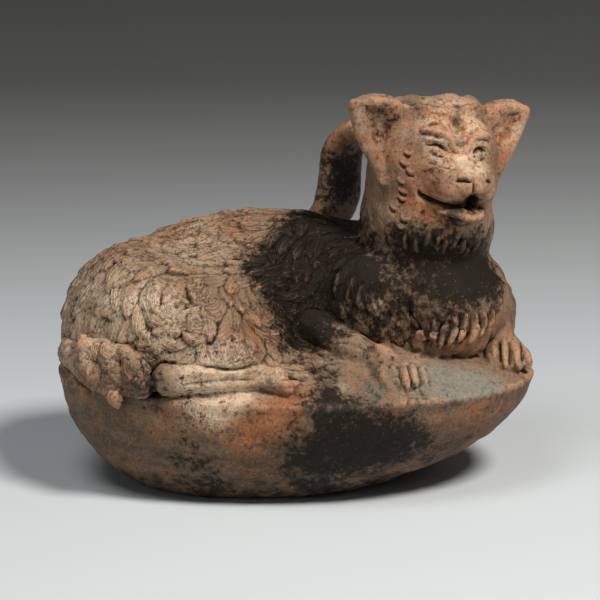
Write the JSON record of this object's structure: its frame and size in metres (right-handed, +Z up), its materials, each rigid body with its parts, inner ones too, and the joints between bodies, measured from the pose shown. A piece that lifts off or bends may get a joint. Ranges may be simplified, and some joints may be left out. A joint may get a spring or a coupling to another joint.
{
  "type": "animal-shaped askos",
  "caption": "Hollow fired clay vessel shaped as a shaggy dog lying on a boat-shaped tub, filled through the crown and poured from the mouth, with a loop handle behind the head.",
  "frame": {"origin": "on the ground under the middle of the vessel's box", "axes": "+X along the tub from stern to bow, where the dog's head is; +Y away from the near long side, across the tub; +Z up"},
  "size_m": [0.1518, 0.087, 0.1257],
  "materials": {
    "smoked_clay": "matt, smoke-darkened, with grey-green bloom",
    "tub_clay": "matt, wiped smooth, orange and grey in patches",
    "fur_clay": "matt, combed with a fine tool",
    "face_clay": "matt, rubbed smooth"
  },
  "bodies": {
    "root": {"base_tub": "tub_clay", "cover_near": "fur_clay", "cover_far": "fur_clay", "neck": "smoked_clay", "face": "face_clay", "muzzle": "face_clay", "head_back": "smoked_clay", "filling_rim": "face_clay", "ear_right": "face_clay", "ear_left": "face_clay", "handle": "fur_clay", "foreleg_right": "fur_clay", "foreleg_left": "fur_clay", "hind_leg_right": "fur_clay", "tail": "fur_clay", "chest_locks": "smoked_clay"}
  },
  "joints": []
}
